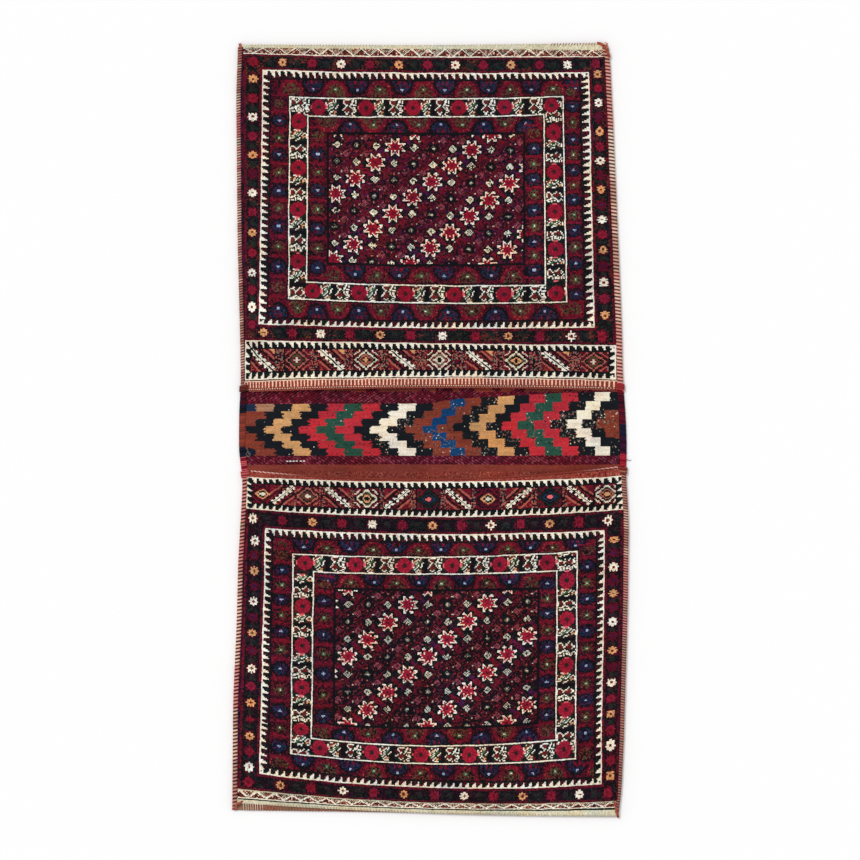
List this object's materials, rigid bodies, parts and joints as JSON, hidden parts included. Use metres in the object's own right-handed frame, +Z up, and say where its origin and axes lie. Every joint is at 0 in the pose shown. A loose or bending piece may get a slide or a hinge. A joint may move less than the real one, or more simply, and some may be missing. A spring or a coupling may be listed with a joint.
{
  "type": "double saddle bag",
  "caption": "Flat-lying double saddle bag: two wool pouches with knotted-pile faces, their mouths towards a flat-woven bridge that lies over an animal's back.",
  "frame": {"origin": "on the ground under the middle of the bag's outline", "axes": "+Y along the bag's length towards the upper pouch, +X across it to the right, +Z up through the pouches' faces"},
  "size_m": [0.6131, 1.2, 0.0175],
  "materials": {
    "back_weave": "matte flat-woven wool, madder brown with a coloured kilim bridge",
    "pile_face": "knotted wool pile, deep aubergine and crimson with coloured borders",
    "binding_wool": "overcast wool in pink, brick and cream stripes",
    "selvedge_wool": "overcast dark blue-black wool",
    "tie_wool": "wrapped red wool",
    "seam_thread": "twisted cream wool thread",
    "cord_wool": "twisted cream wool cord"
  },
  "bodies": {
    "root": {"back_cloth": "back_weave", "upper_front_panel": "pile_face", "lower_front_panel": "pile_face", "upper_left_binding": "binding_wool", "upper_right_binding": "binding_wool", "lower_left_binding": "binding_wool", "lower_right_binding": "binding_wool", "upper_left_tuft": "binding_wool", "upper_right_tuft": "binding_wool", "lower_left_tuft": "binding_wool", "lower_right_tuft": "binding_wool", "left_bridge_selvedge": "selvedge_wool", "right_bridge_selvedge": "selvedge_wool", "upper_left_tie": "tie_wool", "upper_right_tie": "tie_wool", "lower_left_tie": "tie_wool", "lower_right_tie": "tie_wool", "upper_end_seam": "seam_thread", "lower_end_seam": "seam_thread", "upper_mouth_cord": "cord_wool", "lower_mouth_cord": "cord_wool"}
  },
  "joints": []
}
